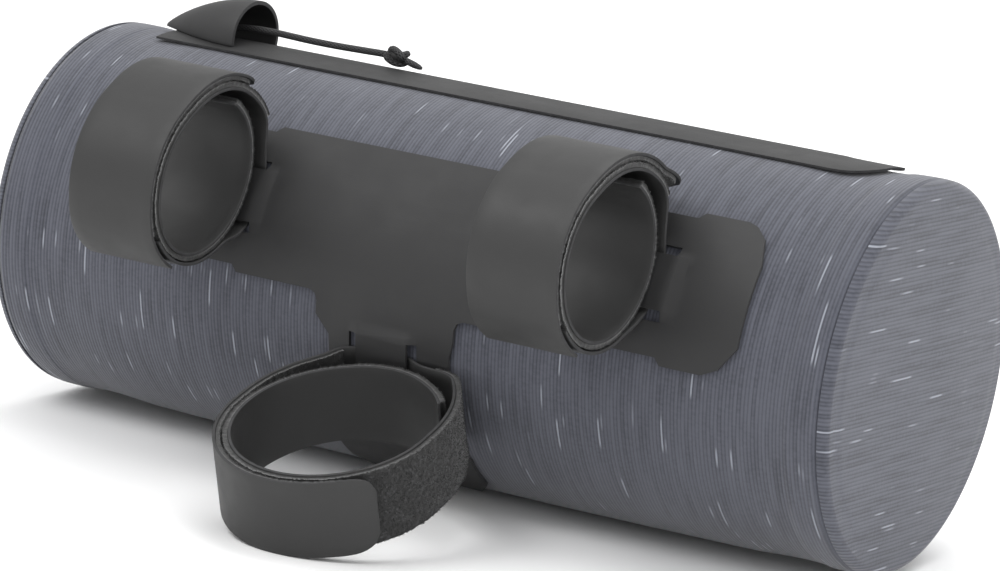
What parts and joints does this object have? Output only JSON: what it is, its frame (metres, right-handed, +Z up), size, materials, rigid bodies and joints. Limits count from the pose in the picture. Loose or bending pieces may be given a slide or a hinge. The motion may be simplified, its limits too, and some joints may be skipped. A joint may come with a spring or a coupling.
{
  "type": "bicycle handlebar bag",
  "caption": "Barrel-shaped fabric bag with a zip along the top and a T-shaped mounting panel whose hook-and-loop straps hold it to a handlebar and a head tube.",
  "frame": {"origin": "on the ground under the middle of the bag's bounding box, the bag lying on its barrel and head-tube strap", "axes": "+X along the barrel, -Y towards the bicycle, +Z up"},
  "size_m": [0.3026, 0.1958, 0.1365],
  "materials": {
    "ribbed_fabric": "fine ribs round the barrel with short pale slubs",
    "laminate": "matt rubber-coated fabric, laser cut",
    "strap": "matt rubber-coated strap",
    "loop_pile": "loop side of hook-and-loop tape",
    "hook_pile": "hook side of hook-and-loop tape",
    "cord": "braided",
    "slider_metal": "black, satin"
  },
  "bodies": {
    "root": {"body_tube": "ribbed_fabric", "end_panel_left": "ribbed_fabric", "end_panel_right": "ribbed_fabric", "zip_tape": "laminate", "zip_garage": "laminate", "mount_panel": "laminate", "zip_slider": "slider_metal", "pull_cord": "cord", "cord_knot": "cord", "handlebar_strap_left": "strap", "handlebar_strap_left_band": "strap", "handlebar_strap_left_loop_pile": "loop_pile", "handlebar_strap_left_hook_pile": "hook_pile", "handlebar_strap_right": "strap", "handlebar_strap_right_band": "strap", "handlebar_strap_right_loop_pile": "loop_pile", "handlebar_strap_right_hook_pile": "hook_pile", "head_tube_strap": "strap", "head_tube_strap_loop_pile": "loop_pile", "head_tube_strap_hook_pile": "hook_pile"}
  },
  "joints": []
}
